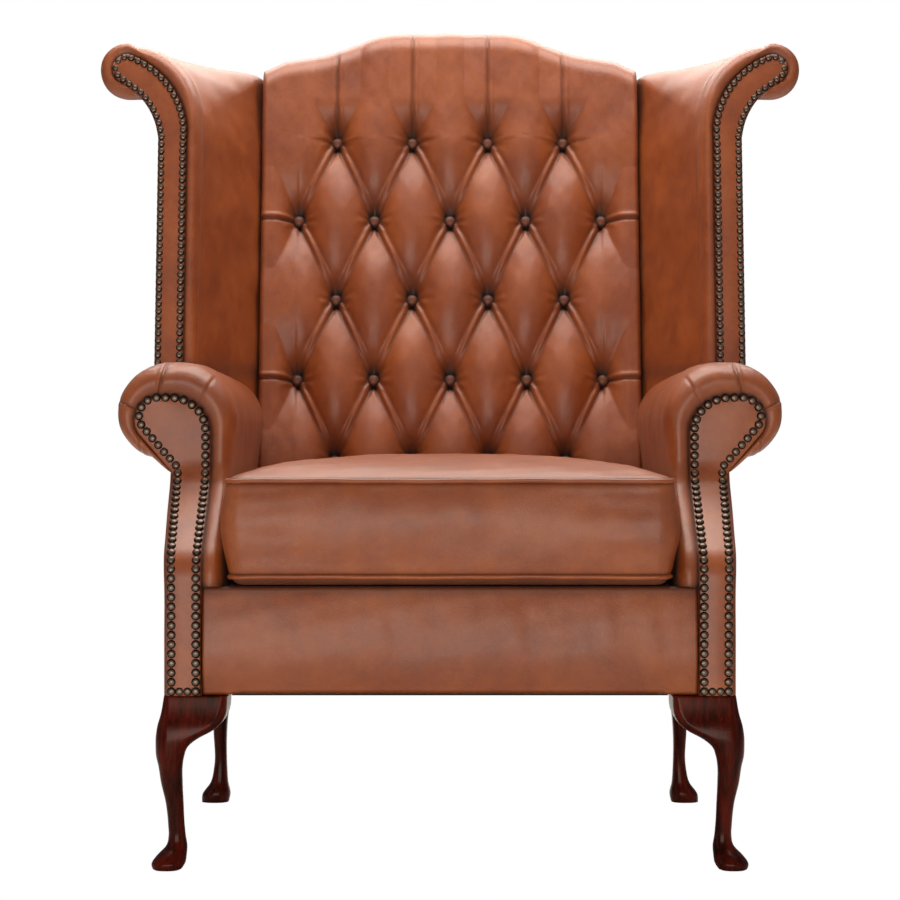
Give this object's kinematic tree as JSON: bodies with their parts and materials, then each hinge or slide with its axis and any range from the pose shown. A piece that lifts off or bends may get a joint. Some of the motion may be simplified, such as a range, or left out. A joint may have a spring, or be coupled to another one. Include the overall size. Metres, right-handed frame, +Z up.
{
  "type": "wing armchair",
  "caption": "High-back wing armchair with a deep-buttoned back, scrolled arms and wings edged with nails, a loose seat cushion and cabriole legs.",
  "frame": {"origin": "on the floor, under the centre of the chair's bounding box", "axes": "+Z up, front faces -Y, +X to the right as seen from the front"},
  "size_m": [0.912, 0.7978, 1.055],
  "materials": {
    "stuffed_leather": "satin",
    "tan_leather": "satin",
    "mahogany": "gloss",
    "antique_brass": "satin",
    "beech": "matte",
    "webbing": "matte",
    "black_cloth": "matte",
    "foam": "matte",
    "steel": "satin"
  },
  "bodies": {
    "chair": {"back_pad": "stuffed_leather", "front_border": "stuffed_leather", "left_arm_pad": "stuffed_leather", "right_arm_pad": "stuffed_leather", "left_wing_pad": "stuffed_leather", "right_wing_pad": "stuffed_leather", "back_buttons": "tan_leather", "outside_back": "tan_leather", "left_outside_arm": "tan_leather", "right_outside_arm": "tan_leather", "left_outside_wing": "tan_leather", "right_outside_wing": "tan_leather", "left_arm_facing": "tan_leather", "right_arm_facing": "tan_leather", "left_wing_facing": "tan_leather", "right_wing_facing": "tan_leather", "left_front_leg": "mahogany", "right_front_leg": "mahogany", "left_back_leg": "mahogany", "right_back_leg": "mahogany", "left_arm_nails": "antique_brass", "right_arm_nails": "antique_brass", "left_wing_nails": "antique_brass", "right_wing_nails": "antique_brass", "front_rail": "beech", "back_rail": "beech", "lower_back_rail": "beech", "top_rail": "beech", "corner_blocks": "beech", "left_front_post": "beech", "right_front_post": "beech", "left_back_post": "beech", "right_back_post": "beech", "left_side_rail": "beech", "right_side_rail": "beech", "left_arm_rail": "beech", "right_arm_rail": "beech", "left_wing_post": "beech", "right_wing_post": "beech", "left_wing_rail": "beech", "right_wing_rail": "beech", "seat_webbing": "webbing", "back_webbing": "webbing", "seat_deck": "black_cloth", "dust_cover": "black_cloth", "leg_bolts": "steel"},
    "seat_cushion": {"cushion_core": "foam", "cushion_cover": "tan_leather", "top_piping": "tan_leather", "bottom_piping": "tan_leather"}
  },
  "joints": [
    {"name": "cushion_slide", "type": "slide", "parent": "chair", "child": "seat_cushion", "axis": [0, -1, 0], "range_m": [0, 0.5]}
  ]
}
